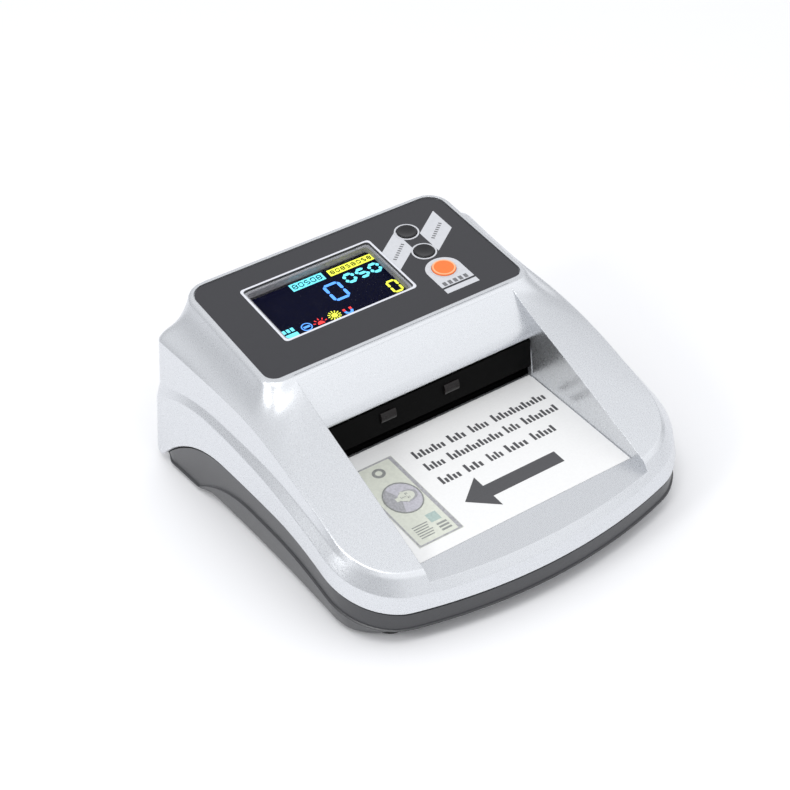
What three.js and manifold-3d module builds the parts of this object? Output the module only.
// A small desktop banknote authenticity detector, built as an assembly of separate pieces.
// Millimetres, +Z up, +Y towards the rear exit slot, origin on the table at the middle of the foot print.
import * as THREE from "three";
import { mergeVertices } from "three/addons/utils/BufferGeometryUtils.js";
import Module from "manifold-3d";

const wasm = await Module();
wasm.setup();

// ---------------------------------------------------------------- driving dimensions
const HALF_DEPTH = 70.3; // from the middle to the front lip and to the rear wall
const HALF_WIDTH = 66.5; // at the front corners, on the seam between cover and base
const REAR_FLARE = 4.6; // how much wider each side is at the rear
const FRONT_RADIUS = 170; // bow of the front edge in plan
const FRONT_CORNER = 25;
const REAR_CORNER = 5;
const WALL = 2.2;
const SEAM_GAP = 0.5;
const FOOT_HEIGHT = 1.5;

const CHANNEL_HALF = 42.5; // half width of the note channel
const TRAY_FRONT_Z = 22.4; // tray floor at the front lip
const TRAY_SLOPE = 0.0252; // rise of the tray floor towards the slot
const LIP_Y = -64.5;
const SLOT_Y = -1.2; // face of the note mouth
const SLOT_TOP_Z = 40.5;
const BROW_TOP = { y: 10.4, z: 55.1 };

const PANEL = { halfWidth: 50.3, length: 54.4, y: 13.72, z: 55.85, tilt: 0.103 };
const RIM = 2.2; // silver rim round the panel film
const FILM = 0.5;
const WINDOW = { left: -35.2, right: 15.1, near: 14.7, far: 44.1 };
const ROUND_KEY = 4.0;
const RESET_KEY = 4.4;
const KEYS = {
  button_currency: { x: 29.5, s: 41.0, r: ROUND_KEY },
  button_function: { x: 28.5, s: 28.6, r: ROUND_KEY },
  button_reset: { x: 28.8, s: 17.1, r: RESET_KEY },
};

const PATH_Z = 24.4; // note path at the rollers
const PATH_GAP = 4.6;
const FEED_R = 7;
const PINCH_R = 6.5;
const FEED_Z = PATH_Z + 0.5 - FEED_R;
const PINCH_Z = PATH_Z + 0.8 + PINCH_R;
const ROLLER_X = [-22, 22];
const ROLLER_LENGTH = 10;
const SHAFT_R = 2;
const PLATE_X = 45;
const PLATE = 1.2;
const GEAR_X = -50;
const GEAR_FACE = 4;
const FEED_TEETH = 21;
const IDLER_TEETH = 11;
const PINION_TEETH = 11;
const FRONT_SHAFT_Y = 17;
const SHAFTS_Y = [FRONT_SHAFT_Y, FRONT_SHAFT_Y + FEED_TEETH + IDLER_TEETH];
const MIDDLE_Y = (SHAFTS_Y[0] + SHAFTS_Y[1]) / 2;
const MOTOR_AXIS_Z = FEED_Z - 5.4;

const FEET = { x: 50, front: -50, rear: 56, r: 5 };
const BATTERY = { halfX: 30, y0: -52, y1: -18 };

// ---------------------------------------------------------------- materials
const FINISH = {
  silver_paint: [0xd6d9de, 0.38, 0.55],
  base_plastic: [0x54565b, 0.6, 0.0],
  panel_film: [0x3a3b40, 0.22, 0.0],
  clear_window: [0x0b1024, 0.1, 0.0],
  black_plastic: [0x101011, 0.35, 0.0],
  key_dark: [0x232427, 0.2, 0.0],
  key_orange: [0xf5803a, 0.4, 0.0],
  paper_label: [0xf3f3f1, 0.6, 0.0],
  rubber: [0x1b1b1b, 0.85, 0.0],
  steel: [0xb4b7bb, 0.35, 0.9],
  gear_plastic: [0xeeeae0, 0.5, 0.0],
  board: [0x1d5a38, 0.5, 0.0],
  lens: [0x3b3034, 0.15, 0.0],
  brass: [0xb08d4a, 0.35, 0.9],
};

const root = new THREE.Group();

function add(name, finish, geometry) {
  const [color, roughness, metalness] = FINISH[finish];
  const material = new THREE.MeshStandardMaterial({ color, roughness, metalness });
  const mesh = new THREE.Mesh(geometry, material);
  mesh.name = name;
  root.add(mesh);
}

// ---------------------------------------------------------------- solid helpers
function solid(geometry) {
  const plain = geometry.index ? geometry.toNonIndexed() : geometry.clone();
  plain.deleteAttribute("normal");
  plain.deleteAttribute("uv");
  const merged = mergeVertices(plain, 1e-3);
  const mesh = new wasm.Mesh({
    numProp: 3,
    vertProperties: merged.attributes.position.array,
    triVerts: new Uint32Array(merged.index.array),
  });
  return new wasm.Manifold(mesh);
}

function geometryOf(manifold) {
  const mesh = manifold.getMesh();
  const geometry = new THREE.BufferGeometry();
  geometry.setAttribute("position", new THREE.BufferAttribute(mesh.vertProperties, 3));
  geometry.setIndex(new THREE.BufferAttribute(mesh.triVerts, 1));
  return geometry;
}

function cut(body, tools) {
  return tools.reduce((left, tool) => left.subtract(tool), body);
}

function boxGeometry(x0, x1, y0, y1, z0, z1) {
  const box = new THREE.BoxGeometry(x1 - x0, y1 - y0, z1 - z0);
  return box.translate((x0 + x1) / 2, (y0 + y1) / 2, (z0 + z1) / 2);
}

// A solid box given by its [low, high] reach along each axis.
function block([x0, x1], [y0, y1], [z0, z1]) {
  return solid(boxGeometry(x0, x1, y0, y1, z0, z1));
}

const around = (middle, half) => [middle - half, middle + half];

function cylinderX(radius, x0, x1, y, z, sides = 28) {
  const rod = new THREE.CylinderGeometry(radius, radius, x1 - x0, sides);
  return rod.rotateZ(Math.PI / 2).translate((x0 + x1) / 2, y, z);
}

function cylinderY(radius, y0, y1, x, z, sides = 28) {
  const rod = new THREE.CylinderGeometry(radius, radius, y1 - y0, sides);
  return rod.translate(x, (y0 + y1) / 2, z);
}

function cylinderZ(radius, z0, z1, x, y, sides = 28) {
  const rod = new THREE.CylinderGeometry(radius, radius, z1 - z0, sides);
  return rod.rotateX(Math.PI / 2).translate(x, y, (z0 + z1) / 2);
}

// A prism along X whose section is given in (y, z).
function prismX(section, x0, x1) {
  const shape = new THREE.Shape(section.map(([y, z]) => new THREE.Vector2(y, z)));
  const prism = new THREE.ExtrudeGeometry(shape, { depth: x1 - x0, bevelEnabled: false });
  const toPart = new THREE.Matrix4().makeBasis(
    new THREE.Vector3(0, 1, 0),
    new THREE.Vector3(0, 0, 1),
    new THREE.Vector3(1, 0, 0),
  );
  return prism.applyMatrix4(toPart).translate(x0, 0, 0);
}

// Skins a stack of closed rings, each with the same number of points, and closes both ends.
function loft(rings) {
  const count = rings[0].length;
  const positions = rings.flat(2);
  const faces = [];
  for (let k = 0; k + 1 < rings.length; k += 1) {
    for (let i = 0; i < count; i += 1) {
      const a = k * count + i;
      const b = k * count + ((i + 1) % count);
      faces.push(a, b, b + count, a, b + count, a + count);
    }
  }
  for (const [ring, turn] of [[0, -1], [rings.length - 1, 1]]) {
    const middle = positions.length / 3;
    const centre = [0, 1, 2].map((axis) => rings[ring].reduce((sum, p) => sum + p[axis], 0) / count);
    positions.push(...centre);
    for (let i = 0; i < count; i += 1) {
      const a = ring * count + i;
      const b = ring * count + ((i + 1) % count);
      faces.push(...(turn > 0 ? [a, b, middle] : [b, a, middle]));
    }
  }
  const geometry = new THREE.BufferGeometry();
  geometry.setAttribute("position", new THREE.Float32BufferAttribute(positions, 3));
  geometry.setIndex(faces);
  return geometry;
}

// ---------------------------------------------------------------- plan outline of the body
const STEPS = { front: 9, corner: 7, side: 12, rearCorner: 5, rear: 4 };
const SIDE_END = HALF_DEPTH - REAR_CORNER; // where the rear corners start
const REAR_EDGE = HALF_WIDTH + REAR_FLARE; // half the width there

// Right half of the outline from the front middle to the rear middle, as points with outward normals.
function halfOutline() {
  const centreY = -HALF_DEPTH + FRONT_RADIUS;
  const cornerX = HALF_WIDTH - FRONT_CORNER;
  const cornerY = centreY - Math.sqrt((FRONT_RADIUS - FRONT_CORNER) ** 2 - cornerX ** 2);
  const join = Math.atan2(cornerX, centreY - cornerY);
  const points = [];
  for (let i = 0; i < STEPS.front; i += 1) {
    const angle = (join * i) / STEPS.front;
    const [nx, ny] = [Math.sin(angle), -Math.cos(angle)];
    points.push({ x: FRONT_RADIUS * nx, y: centreY + FRONT_RADIUS * ny, nx, ny, zone: "front" });
  }
  for (let i = 0; i < STEPS.corner; i += 1) {
    const angle = join + ((Math.PI / 2 - join) * i) / STEPS.corner;
    const [nx, ny] = [Math.sin(angle), -Math.cos(angle)];
    points.push({ x: cornerX + FRONT_CORNER * nx, y: cornerY + FRONT_CORNER * ny, nx, ny, zone: "corner" });
  }
  for (let i = 0; i < STEPS.side; i += 1) {
    const along = i / STEPS.side;
    const y = cornerY + (SIDE_END - cornerY) * along;
    points.push({ x: HALF_WIDTH + REAR_FLARE * along ** 2, y, nx: 1, ny: 0, zone: "side" });
  }
  const rearX = REAR_EDGE - REAR_CORNER;
  for (let i = 0; i < STEPS.rearCorner; i += 1) {
    const angle = (Math.PI / 2) * (i / STEPS.rearCorner);
    const [nx, ny] = [Math.cos(angle), Math.sin(angle)];
    points.push({ x: rearX + REAR_CORNER * nx, y: SIDE_END + REAR_CORNER * ny, nx, ny, zone: "rear" });
  }
  for (let i = 0; i <= STEPS.rear; i += 1) {
    points.push({ x: rearX * (1 - i / STEPS.rear), y: HALF_DEPTH, nx: 0, ny: 1, zone: "rear" });
  }
  return points;
}

function mirrored(half) {
  const left = half.slice(1, -1).reverse().map((p) => ({ ...p, x: -p.x, nx: -p.nx }));
  return [...half, ...left];
}

const OUTLINE = mirrored(halfOutline());

const clamp01 = (t) => Math.min(1, Math.max(0, t));
const smooth = (t) => clamp01(t) ** 2 * (3 - 2 * clamp01(t));

// A body line that starts level at the front, sweeps up along the side and falls by drop at the rear.
function sweep({ front, rise, from, to, drop = 0, dropFrom = 0, dropTo = 1 }) {
  return (y) => {
    const up = Math.sin((Math.PI / 2) * clamp01((y - from) / (to - from)) ** 1.1);
    const down = clamp01((y - dropFrom) / (dropTo - dropFrom)) ** 2;
    return front + rise * up - drop * down;
  };
}

const EDGE = sweep({ front: 13.8, rise: 11.5, from: -62, to: -12, drop: 27.5, dropFrom: 20, dropTo: 68.5 });
const LEDGE_OUT = sweep({ front: 19.2, rise: 15.8, from: -65, to: 0, drop: 18.5, dropFrom: 32, dropTo: 81 });
const LEDGE_IN = sweep({ front: 22.4, rise: 15.3, from: -70, to: 5, drop: 7.1, dropFrom: 30, dropTo: 65 });
const RIDGE = sweep({ front: 25.6, rise: 20.8, from: -61, to: 20, drop: -1.5, dropFrom: 10, dropTo: 67 });
const BASE_LINE = sweep({ front: 6.8, rise: 8.6, from: -60, to: -8, drop: 13.4, dropFrom: 6, dropTo: 42 });

// The case's lower edge never comes lower than SEAM_LOW, and its tail curls up at the rear wall.
const SEAM_LOW = 3;
const TAIL = { from: 64, rise: 4 };
const SEAM = (y) => {
  const tail = clamp01((y - TAIL.from) / (HALF_DEPTH - TAIL.from)) ** 2;
  return Math.max(SEAM_LOW, EDGE(y)) + TAIL.rise * tail;
};

// Share of a ring's inset that it has at the rear wall.
const REAR_SHARE = 0.15;

// How much further in the upper body stands at the rear than at the front.
const LEAN = { ledgeOut: 1.9, ledgeIn: 0.8, ridge: 1.7 };

// One ring of the body at height z(y): the outline moved inwards by inset, and by lean more of it
// along the rear of the sides. The rear wall moves by only a share of inset, so the rear corners
// are drawn in across and along, each by its own amount.
function ring(inset, heightAt, rearShare = REAR_SHARE, lean = 0) {
  return OUTLINE.map((p) => {
    const depth = inset + lean * smooth((p.y + 25) / 60);
    if (p.zone === "rear") {
      const y = p.y - (inset * rearShare * (p.y - SIDE_END)) / REAR_CORNER;
      return [p.x * (1 - depth / REAR_EDGE), y, heightAt(y)];
    }
    const y = p.y - depth * p.ny;
    return [p.x - depth * p.nx, y, heightAt(y)];
  });
}

const panelZ = (y) => PANEL.z + (y - PANEL.y) * PANEL.tilt;

// The console top outline: a rounded rectangle whose points lie in line with those of another
// ring, seen from the middle of the console.
const CONSOLE = {
  y0: PANEL.y - RIM - 1,
  y1: HALF_DEPTH - 0.3,
  frontCorner: 6.6,
  rearCorner: 8.6,
};

function consoleRing(guide, grow, lift) {
  const halfX = PANEL.halfWidth + RIM + grow;
  const halfY = (CONSOLE.y1 - CONSOLE.y0) / 2 + grow;
  const middleY = (CONSOLE.y0 + CONSOLE.y1) / 2;
  return guide.map(([x, y]) => {
    const length = Math.hypot(x, y - middleY);
    const dx = x / length;
    const dy = (y - middleY) / length;
    const radius = (dy < 0 ? CONSOLE.frontCorner : CONSOLE.rearCorner) + grow;
    const reach = roundedReach(Math.abs(dx), Math.abs(dy), halfX, halfY, radius);
    const ringY = middleY + dy * reach;
    return [dx * reach, ringY, panelZ(ringY) + lift];
  });
}

// How far a ray from the centre of a rounded rectangle runs to its outline.
function roundedReach(dx, dy, halfX, halfY, radius) {
  if (dy * halfX <= (halfY - radius) * dx) {
    return halfX / dx;
  }
  if (dx * halfY <= (halfX - radius) * dy) {
    return halfY / dy;
  }
  const cornerX = halfX - radius;
  const cornerY = halfY - radius;
  const along = dx * cornerX + dy * cornerY;
  return along + Math.sqrt(along ** 2 - cornerX ** 2 - cornerY ** 2 + radius ** 2);
}

// Height share of the flank at a share t of the way from the ridge to the console rim: nearly
// straight at the front, a cove beside the console and a full shoulder at the rear.
function flankRise(t, y) {
  const rearShare = smooth((y - 15) / 45);
  const cove = smooth((y + 8) / 26) * (1 - rearShare);
  const front = t ** (1 + 0.7 * cove);
  const rear = 0.16 * (1 - (1 - t) ** 8) + 0.84 * t ** 2.2;
  return front + (rear - front) * rearShare;
}

function flankRings(ridge, rim, steps) {
  const rings = [];
  for (let k = 1; k < steps; k += 1) {
    const t = (k / steps) ** 1.4;
    rings.push(ridge.map(([x, y, z], i) => {
      const [rx, ry, rz] = rim[i];
      return [x + (rx - x) * t, y + (ry - y) * t, z + (rz - z) * flankRise(t, y)];
    }));
  }
  return rings;
}

const FLANK_STEPS = 5;

function coverOuter() {
  const ridge = ring(5.2, RIDGE, REAR_SHARE, LEAN.ridge);
  const rim = consoleRing(ridge, 0, -0.3);
  return solid(loft([
    ring(WALL + 1, SEAM, 1),
    ring(0, SEAM),
    ring(0.9, LEDGE_OUT, REAR_SHARE, LEAN.ledgeOut),
    ring(3.9, LEDGE_IN, REAR_SHARE, LEAN.ledgeIn),
    ridge,
    ...flankRings(ridge, rim, FLANK_STEPS),
    rim,
    consoleRing(ridge, -0.9, 0.4),
    consoleRing(ridge, -RIM + 0.3, 0.4),
  ]));
}

function coverInner() {
  const lower = (line, by) => (y) => line(y) - by;
  const ridge = ring(5.2 + WALL, lower(RIDGE, WALL), 0.5, LEAN.ridge);
  const rim = consoleRing(ridge, -WALL, -0.3 - WALL);
  return solid(loft([
    ring(WALL, lower(SEAM, 30), 0.9),
    ring(WALL, SEAM, 0.9),
    ring(0.9 + WALL, lower(LEDGE_OUT, 0.6), 0.7, LEAN.ledgeOut),
    ring(3.9 + WALL, lower(LEDGE_IN, 1.2), 0.5, LEAN.ledgeIn),
    ridge,
    ...flankRings(ridge, rim, FLANK_STEPS),
    rim,
  ]));
}

const trayZ = (y) => TRAY_FRONT_Z + (y - LIP_Y) * TRAY_SLOPE;

// The open volume over the tray and under the brow, grown by a margin for the inside of the walls.
function channelVolume(margin) {
  const front = -HALF_DEPTH - 5;
  const down = margin;
  const back = SLOT_Y + margin;
  const section = [
    [front, trayZ(front) - down],
    [back, trayZ(back) - down],
    [back, SLOT_TOP_Z],
    [BROW_TOP.y + margin, BROW_TOP.z],
    [BROW_TOP.y + margin, 90],
    [front, 90],
  ];
  return solid(prismX(section, -CHANNEL_HALF - margin, CHANNEL_HALF + margin));
}

function onPanel(geometry) {
  const tilt = Math.atan(PANEL.tilt);
  return geometry.rotateX(tilt).translate(0, PANEL.y, PANEL.z);
}

function roundedRect(x0, x1, y0, y1, nearR, farR) {
  const shape = new THREE.Shape();
  shape.moveTo(x0 + nearR, y0);
  shape.lineTo(x1 - nearR, y0);
  shape.absarc(x1 - nearR, y0 + nearR, nearR, -Math.PI / 2, 0, false);
  shape.absarc(x1 - farR, y1 - farR, farR, 0, Math.PI / 2, false);
  shape.absarc(x0 + farR, y1 - farR, farR, Math.PI / 2, Math.PI, false);
  shape.absarc(x0 + nearR, y0 + nearR, nearR, Math.PI, 1.5 * Math.PI, false);
  shape.closePath();
  return shape;
}

function slab(shape, z0, z1, curveSegments = 6) {
  const plate = new THREE.ExtrudeGeometry(shape, { depth: z1 - z0, bevelEnabled: false, curveSegments });
  return plate.translate(0, 0, z0);
}

function circle(x, y, r) {
  const path = new THREE.Path();
  path.absarc(x, y, r, 0, 2 * Math.PI, true);
  return path;
}

function filmShape(inset) {
  const w = PANEL.halfWidth - inset;
  return roundedRect(-w, w, inset, PANEL.length - inset, 4.2, 6.5);
}

function windowShape(grow) {
  const { left, right, near, far } = WINDOW;
  return roundedRect(left - grow, right + grow, near - grow, far + grow, 1.5, 1.5);
}

const EXIT = { halfX: 43.5, z0: PATH_Z - 1, z1: PATH_Z + 4.2 };
const REAR_PORTS = {
  dc_jack: { x: 51, z: 15, r: 3.6 },
  update_port: { x: 34, z: 13, halfX: 4.6, halfZ: 2.0 },
  rocker: { x: -48, z: 14, halfX: 7.2, halfZ: 4.7 },
};

function rearOpenings() {
  const { dc_jack: jack, update_port: port, rocker } = REAR_PORTS;
  const through = [HALF_DEPTH - 8, HALF_DEPTH + 3];
  return [
    block([-EXIT.halfX, EXIT.halfX], through, [EXIT.z0, EXIT.z1]),
    solid(cylinderY(jack.r, ...through, jack.x, jack.z)),
    block(around(port.x, port.halfX), through, around(port.z, port.halfZ)),
    block(around(rocker.x, rocker.halfX), through, around(rocker.z, rocker.halfZ)),
  ];
}

function topCover() {
  const cavity = coverInner().subtract(channelVolume(WALL));
  const mouthHeight = [trayZ(SLOT_Y) + 0.1, SLOT_TOP_Z - 0.3];
  const mouth = block(around(0, CHANNEL_HALF - 0.2), [SLOT_Y - 1, SLOT_Y + 4], mouthHeight);
  const recess = solid(onPanel(slab(filmShape(-0.25), -FILM - 0.2, 6)));
  const window = solid(onPanel(slab(windowShape(-0.6), -8, 1)));
  const keyHoles = Object.values(KEYS).map(({ x, s, r }) => solid(onPanel(cylinderZ(r + 0.5, -8, 1, x, s))));
  const face = keyHoles.reduce((all, hole) => all.add(hole), recess.add(window));
  const tools = [channelVolume(0), cavity, mouth, face];
  add("top_cover", "silver_paint", geometryOf(cut(coverOuter(), [...tools, ...rearOpenings()])));
}

// ---------------------------------------------------------------- base
// The base stands back under the tail of the case by BASE_RECESS.
const BASE_RECESS = 2.5;
const wallInset = (y) => BASE_RECESS * smooth((y - 58) / 7);

// Under its widest line the base tapers in, least at the rear feet.
function footInset(y) {
  const side = smooth((y + 66) / 20);
  const foot = smooth((y - 35) / 7);
  return 6 - 3.6 * side - 2.1 * foot + wallInset(y);
}

// A ring of the base: the outline moved inwards by insetAt(y) and by depth more.
function baseRing(insetAt, depth, heightAt) {
  return OUTLINE.map((p) => {
    const inset = p.zone === "rear" ? BASE_RECESS + Math.min(depth, WALL) : insetAt(p.y) + depth;
    const y = p.y - inset * p.ny;
    return [p.x - inset * p.nx, y, heightAt(y)];
  });
}

function baseShell() {
  const seamBelow = (y) => SEAM(y) - SEAM_GAP;
  const bottom = FOOT_HEIGHT;
  const lineZ = (y) => Math.max(bottom + 1, Math.min(BASE_LINE(y), seamBelow(y) - 1));
  const outer = solid(loft([
    baseRing(footInset, 1.2, () => bottom),
    baseRing(footInset, 0, () => bottom + 0.8),
    baseRing(wallInset, 0.5, lineZ),
    baseRing(wallInset, 0.4, seamBelow),
  ]));
  const inner = solid(loft([
    baseRing(footInset, WALL + 2, () => bottom + 3),
    baseRing(wallInset, WALL + 3, (y) => Math.max(bottom + 3.4, lineZ(y))),
    baseRing(wallInset, WALL + 0.2, (y) => Math.max(bottom + 3.8, seamBelow(y))),
    baseRing(wallInset, WALL + 0.2, () => 60),
  ]));
  const feet = footPlaces().map(([x, y]) => solid(cylinderZ(FEET.r + 0.3, 0, bottom + 0.9, x, y)));
  const screws = screwPlaces().map(([x, y]) => solid(cylinderZ(3.2, 0, bottom + 1.8, x, y, 20)));
  const holes = screwPlaces().map(([x, y]) => solid(cylinderZ(1.8, 0, bottom + 4, x, y, 16)));
  const { halfX, y0, y1 } = BATTERY;
  const bay = block(around(0, halfX + 0.6), [y0 - 0.6, y1 + 0.6], [0, bottom + 4]);
  const slide = block(around(0, halfX + 3.4), [y0 - 4, y1 + 13], [0, bottom + 1.7]);
  const tools = [inner, ...feet, ...screws, ...holes, bay, slide];
  add("base_shell", "base_plastic", geometryOf(cut(outer, tools)));
}

function footPlaces() {
  const { x, front, rear } = FEET;
  return [[-x, front], [x, front], [-x, rear], [x, rear]];
}

function screwPlaces() {
  return [[-56, -32], [56, -32], [-56, 38], [56, 38]];
}

function underside() {
  const names = ["front_left", "front_right", "rear_left", "rear_right"];
  footPlaces().forEach(([x, y], i) => {
    add(`foot_${names[i]}`, "rubber", cylinderZ(FEET.r, 0, FOOT_HEIGHT + 0.8, x, y));
  });
  screwPlaces().forEach(([x, y], i) => {
    const head = solid(cylinderZ(2.8, FOOT_HEIGHT + 0.2, FOOT_HEIGHT + 1.7, x, y, 20));
    const shank = solid(cylinderZ(1.5, FOOT_HEIGHT + 1.5, FOOT_HEIGHT + 8, x, y, 12));
    const drive = [0, Math.PI / 2].map((turn) => {
      const slot = new THREE.BoxGeometry(3.4, 0.8, 1.6).rotateZ(turn).translate(x, y, FOOT_HEIGHT + 0.2);
      return solid(slot);
    });
    add(`case_screw_${names[i]}`, "steel", geometryOf(cut(head.add(shank), drive)));
  });
  const { halfX, y0, y1 } = BATTERY;
  const plate = block(around(0, halfX + 3), [y0 - 3.6, y1 + 3.6], [FOOT_HEIGHT + 0.1, FOOT_HEIGHT + 1.4]);
  const gripDepth = [0, FOOT_HEIGHT + 0.6];
  const grips = [2, 4, 6, 8].map((back) => block(around(0, 8), [y1 - back, y1 - back + 1], gripDepth));
  add("battery_door", "base_plastic", geometryOf(cut(plate, grips)));
  const pack = roundedRect(-halfX + 2, halfX - 2, y0 + 1, y1 - 1, 3, 3);
  add("battery_pack", "black_plastic", slab(pack, FOOT_HEIGHT + 4.6, 19.2));
}

// ---------------------------------------------------------------- console
function windowHole(grow) {
  const hole = new THREE.Path();
  hole.setFromPoints(windowShape(grow).getPoints(6).reverse());
  return hole;
}

function console_() {
  const film = filmShape(0);
  film.holes.push(windowHole(0));
  for (const { x, s, r } of Object.values(KEYS)) film.holes.push(circle(x, s, r + 0.25));
  add("panel_film", "panel_film", onPanel(slab(film, -FILM, 0, 10)));
  add("display_window", "clear_window", onPanel(slab(windowShape(-0.2), -FILM + 0.05, -0.05)));

  const frame = windowShape(3.4);
  frame.holes.push(windowHole(0.4));
  add("display_frame", "black_plastic", onPanel(slab(frame, -6.4, -3.2)));
  add("lcd_module", "clear_window", onPanel(slab(windowShape(0), -6.2, -3.4)));

  add("key_board", "board", onPanel(slab(roundedRect(21.5, 38, 9, 49, 1, 1), -9.2, -7.6)));
  for (const [name, { x, s, r }] of Object.entries(KEYS)) {
    const stem = solid(onPanel(cylinderZ(1.6, -4.2, -1, x, s, 16)));
    const cap = solid(onPanel(cylinderZ(r, -2.0, 0.6, x, s, 36)));
    const skirt = solid(onPanel(cylinderZ(r + 1.1, -3.9, -3.1, x, s, 36)));
    const neck = solid(onPanel(cylinderZ(r - 0.4, -3.3, -1.8, x, s, 36)));
    const finish = name === "button_reset" ? "key_orange" : "key_dark";
    add(name, finish, geometryOf(cap.add(stem).add(skirt).add(neck)));
    const can = solid(onPanel(boxGeometry(x - 3, x + 3, s - 3, s + 3, -7.3, -5.6)));
    const plunger = solid(onPanel(cylinderZ(1.4, -5.8, -5.2, x, s, 16)));
    add(name.replace("button", "switch"), "black_plastic", geometryOf(can.add(plunger)));
  }
}

// ---------------------------------------------------------------- note mouth and guides
const LENS = [{ x: -16.4, z: 35.2 }, { x: 8.8, z: 35.2 }];
const LABEL = { front: -53.9, rear: SLOT_Y - 0.3, halfX: 42.2, thick: 0.2 };

function mouth() {
  const face = SLOT_Y + 0.4;
  const guardReach = [PATH_Z + PATH_GAP - 0.2, SLOT_TOP_Z - 0.7];
  const guard = block(around(0, CHANNEL_HALF - 0.5), [face, face + 2.2], guardReach);
  const pockets = LENS.map(({ x, z }) => solid(cylinderY(2.4, face - 1, face + 4, x, z)));
  add("mouth_guard", "black_plastic", geometryOf(cut(guard, pockets)));
  LENS.forEach(({ x, z }, i) => {
    const lens = cylinderY(2.1, face - 0.1, face + 2.0, x, z);
    add(i === 0 ? "note_sensor_left" : "note_sensor_right", "lens", lens);
  });
  const { front, rear, thick } = LABEL;
  const corners = [[front, 0], [rear, 0], [rear, thick], [front, thick]];
  const section = corners.map(([y, up]) => [y, trayZ(y) + 0.03 + up]);
  add("instruction_label", "paper_label", prismX(section, -LABEL.halfX, LABEL.halfX));
}

function guidePlate(z0, z1, windowHalfY, extra) {
  const plate = block(around(0, CHANNEL_HALF - 0.2), [2.6, HALF_DEPTH - 3.6], [z0, z1]);
  const windows = [];
  for (const y of SHAFTS_Y) {
    for (const x of ROLLER_X) {
      windows.push(block(around(x, ROLLER_LENGTH / 2 + 0.8), around(y, windowHalfY), [z0 - 5, z1 + 5]));
    }
  }
  return cut(plate, [...windows, ...extra]);
}

const HEAD = { halfX: 8, y: MIDDLE_Y, halfY: 4.5 };

function guides() {
  add("lower_note_guide", "black_plastic", geometryOf(guidePlate(PATH_Z - 2, PATH_Z, 6.6, [])));
  const headHole = block(around(0, HEAD.halfX + 0.4), around(HEAD.y, HEAD.halfY + 0.4), [20, 40]);
  const top = PATH_Z + PATH_GAP;
  add("upper_note_guide", "black_plastic", geometryOf(guidePlate(top, top + 1, 6.8, [headHole])));
  const head = boxGeometry(...around(0, HEAD.halfX), ...around(HEAD.y, HEAD.halfY), PATH_Z + 0.6, 35.5);
  add("magnetic_head", "steel", head);
  add("uv_sensor_board", "board", boxGeometry(-36, 36, MIDDLE_Y - 8.5, MIDDLE_Y - 5.5, 31.2, 32.8));
  add("ir_sensor_board", "board", boxGeometry(-36, 36, MIDDLE_Y - 6, MIDDLE_Y + 6, 19.2, 20.8));
  add("main_board", "board", boxGeometry(-40, 40, 20, 62, 41.0, 42.6));
}

// ---------------------------------------------------------------- note transport
function chassisPlate(side) {
  const x0 = side * PLATE_X - PLATE / 2;
  const lowFront = [[6, 5.4], [60, 5.4], [60, 36], [54, 41], [14, 41], [6, 36]];
  const plate = solid(prismX(lowFront, x0, x0 + PLATE));
  const bores = SHAFTS_Y.flatMap((y) => [
    solid(cylinderX(SHAFT_R + 0.3, x0 - 1, x0 + PLATE + 1, y, FEED_Z, 20)),
    solid(cylinderX(SHAFT_R - 0.2, x0 - 1, x0 + PLATE + 1, y, PINCH_Z, 20)),
  ]);
  return cut(plate, bores);
}

function gear(teeth, module_, x0, x1, y, z, bore, phase) {
  const pitch = (teeth * module_) / 2;
  const tip = pitch + 0.8 * module_;
  const foot = pitch - 1.1 * module_;
  const step = (2 * Math.PI) / teeth;
  const shape = new THREE.Shape();
  const corners = [[-0.30, foot], [-0.11, tip], [0.11, tip], [0.30, foot]];
  for (let i = 0; i < teeth; i += 1) {
    for (const [share, r] of corners) {
      const angle = phase + (i + share) * step;
      const [px, py] = [r * Math.cos(angle), r * Math.sin(angle)];
      if (i === 0 && share === corners[0][0]) shape.moveTo(px, py);
      else shape.lineTo(px, py);
    }
  }
  shape.closePath();
  if (bore > 0) shape.holes.push(circle(0, 0, bore));
  const toPart = new THREE.Matrix4().makeBasis(
    new THREE.Vector3(0, 1, 0),
    new THREE.Vector3(0, 0, 1),
    new THREE.Vector3(1, 0, 0),
  );
  const blank = new THREE.ExtrudeGeometry(shape, { depth: x1 - x0, bevelEnabled: false, curveSegments: 8 });
  return blank.applyMatrix4(toPart).translate(x0, y, z);
}

const GEAR_X0 = GEAR_X - GEAR_FACE / 2;
const GEAR_X1 = GEAR_X + GEAR_FACE / 2;
const MOTOR_REACH = (FEED_TEETH + PINION_TEETH) / 2;
const MOTOR_Y = SHAFTS_Y[0] - Math.sqrt(MOTOR_REACH ** 2 - (FEED_Z - MOTOR_AXIS_Z) ** 2);

// A transport gear of module 1 at y, with a tooth (or a gap) turned towards the given direction.
function driveGear(teeth, y, bore, towards, wantsGap) {
  const phase = towards + (wantsGap ? Math.PI / teeth : 0);
  return gear(teeth, 1, GEAR_X0, GEAR_X1, y, FEED_Z, bore, phase);
}

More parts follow.
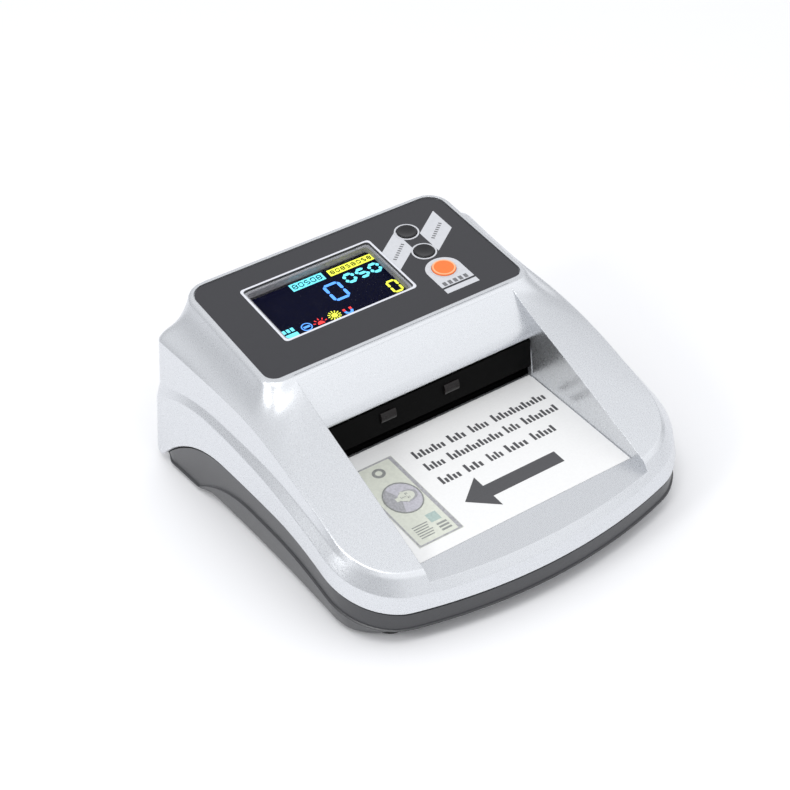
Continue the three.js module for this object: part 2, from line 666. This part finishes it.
function gears() {
  const towardsMotor = Math.atan2(MOTOR_AXIS_Z - FEED_Z, MOTOR_Y - SHAFTS_Y[0]);
  const feedBore = SHAFT_R + 0.05;
  const outerFace = -PLATE_X - PLATE / 2;
  add("feed_gear_front", "gear_plastic", driveGear(FEED_TEETH, SHAFTS_Y[0], feedBore, 0, false));
  add("feed_gear_rear", "gear_plastic", driveGear(FEED_TEETH, SHAFTS_Y[1], feedBore, Math.PI, true));
  add("idler_gear", "gear_plastic", driveGear(IDLER_TEETH, MIDDLE_Y, 1.6, Math.PI, true));
  add("idler_stud", "steel", cylinderX(1.3, GEAR_X0 - 0.6, outerFace - 0.05, MIDDLE_Y, FEED_Z, 16));

  // The pinion's phase puts one of its gaps on the front gear's nearest tooth.
  const step = (2 * Math.PI) / FEED_TEETH;
  const offset = towardsMotor - Math.round(towardsMotor / step) * step;
  const back = towardsMotor + Math.PI;
  const pinionStep = (2 * Math.PI) / PINION_TEETH;
  const phase = back + pinionStep / 2 + (offset * FEED_TEETH) / PINION_TEETH;
  add("motor_pinion", "brass", gear(PINION_TEETH, 1, GEAR_X0, GEAR_X1, MOTOR_Y, MOTOR_AXIS_Z, 1.05, phase));
}

function roller(radius, bore, x, y, z) {
  const [x0, x1] = around(x, ROLLER_LENGTH / 2);
  const wheel = solid(cylinderX(radius, x0, x1, y, z, 32));
  return geometryOf(wheel.subtract(solid(cylinderX(bore, x0 - 1, x1 + 1, y, z, 20))));
}

function transport() {
  add("chassis_plate_left", "steel", geometryOf(chassisPlate(-1)));
  add("chassis_plate_right", "steel", geometryOf(chassisPlate(1)));
  const ends = ["front", "rear"];
  SHAFTS_Y.forEach((y, i) => {
    add(`feed_shaft_${ends[i]}`, "steel", cylinderX(SHAFT_R, -53, 51, y, FEED_Z, 20));
    add(`pinch_shaft_${ends[i]}`, "steel", cylinderX(SHAFT_R - 0.5, -46.4, 46.4, y, PINCH_Z, 16));
    ROLLER_X.forEach((x, j) => {
      const side = j === 0 ? "left" : "right";
      add(`feed_roller_${ends[i]}_${side}`, "rubber", roller(FEED_R, SHAFT_R + 0.05, x, y, FEED_Z));
      add(`pinch_roller_${ends[i]}_${side}`, "gear_plastic", roller(PINCH_R, SHAFT_R - 0.45, x, y, PINCH_Z));
    });
  });
  gears();
  const can = solid(cylinderX(8, -43.6, -14, MOTOR_Y, MOTOR_AXIS_Z, 28));
  const nose = solid(cylinderX(3, -44.2, -43, MOTOR_Y, MOTOR_AXIS_Z, 20));
  add("motor", "steel", geometryOf(can.add(nose)));
  add("motor_shaft", "steel", cylinderX(1.0, -52.5, -44.5, MOTOR_Y, MOTOR_AXIS_Z, 12));
  add("encoder_disc", "black_plastic", gear(16, 1.1, 48.4, 49.2, SHAFTS_Y[1], FEED_Z, SHAFT_R + 0.05, 0));
  const fork = block([46.6, 51.4], around(SHAFTS_Y[1], 3), [FEED_Z + 6.2, FEED_Z + 14]);
  const slit = block([47.9, 49.7], around(SHAFTS_Y[1], 4), [FEED_Z + 6, FEED_Z + 11]);
  add("encoder_sensor", "black_plastic", geometryOf(fork.subtract(slit)));
}

// ---------------------------------------------------------------- rear sockets and switch
function rearSockets() {
  const inside = HALF_DEPTH - 3.2;
  const { dc_jack: jack, update_port: port, rocker } = REAR_PORTS;
  const body = block(around(jack.x, 4.6), [inside - 7.5, inside], around(jack.z, 5.4));
  const collar = solid(cylinderY(jack.r - 0.3, inside - 1, HALF_DEPTH - 0.6, jack.x, jack.z));
  const bore = solid(cylinderY(2.75, inside - 6, HALF_DEPTH + 1, jack.x, jack.z));
  const pin = solid(cylinderY(1.0, inside - 7, HALF_DEPTH - 1.6, jack.x, jack.z, 16));
  add("dc_jack", "black_plastic", geometryOf(body.add(collar).subtract(bore).add(pin)));

  const can = block(around(port.x, 4.2), [inside - 8, HALF_DEPTH - 0.8], around(port.z, 1.6));
  const throat = block(around(port.x, 3.8), [inside - 6, HALF_DEPTH + 1], around(port.z, 1.2));
  const tongue = block(around(port.x, 3.2), [inside - 7, HALF_DEPTH - 2], around(port.z, 0.4));
  add("update_port", "steel", geometryOf(can.subtract(throat).add(tongue)));

  const housing = block(around(rocker.x, 6.8), [inside - 6, HALF_DEPTH - 0.2], around(rocker.z, 4.3));
  const well = block(around(rocker.x, 5.8), [inside - 5, HALF_DEPTH + 1], around(rocker.z, 3.4));
  add("rocker_housing", "black_plastic", geometryOf(housing.subtract(well)));
  add("power_rocker", "key_dark", rockerGeometry(rocker));
}

const ROCKER_THROW = (16 * Math.PI) / 180;
const ROCKER_PIVOT_IN = 2.2;

// A rocker with a shallow V face, resting in its off position and turning about a vertical axis.
function rockerGeometry(rocker) {
  const shape = new THREE.Shape();
  const y = HALF_DEPTH - 1.9;
  shape.moveTo(rocker.x - 5.2, y - 2.4);
  shape.lineTo(rocker.x + 5.2, y - 2.4);
  shape.lineTo(rocker.x + 5.2, y + 0.9);
  shape.lineTo(rocker.x, y - 0.1);
  shape.lineTo(rocker.x - 5.2, y + 0.9);
  shape.closePath();
  const pivotY = HALF_DEPTH - ROCKER_PIVOT_IN;
  const body = slab(shape, rocker.z - 3.0, rocker.z + 3.0).translate(-rocker.x, -pivotY, 0);
  return body.rotateZ(-ROCKER_THROW / 2).translate(rocker.x, pivotY, 0);
}

topCover();
baseShell();
underside();
console_();
mouth();
guides();
transport();
rearSockets();

export default root;
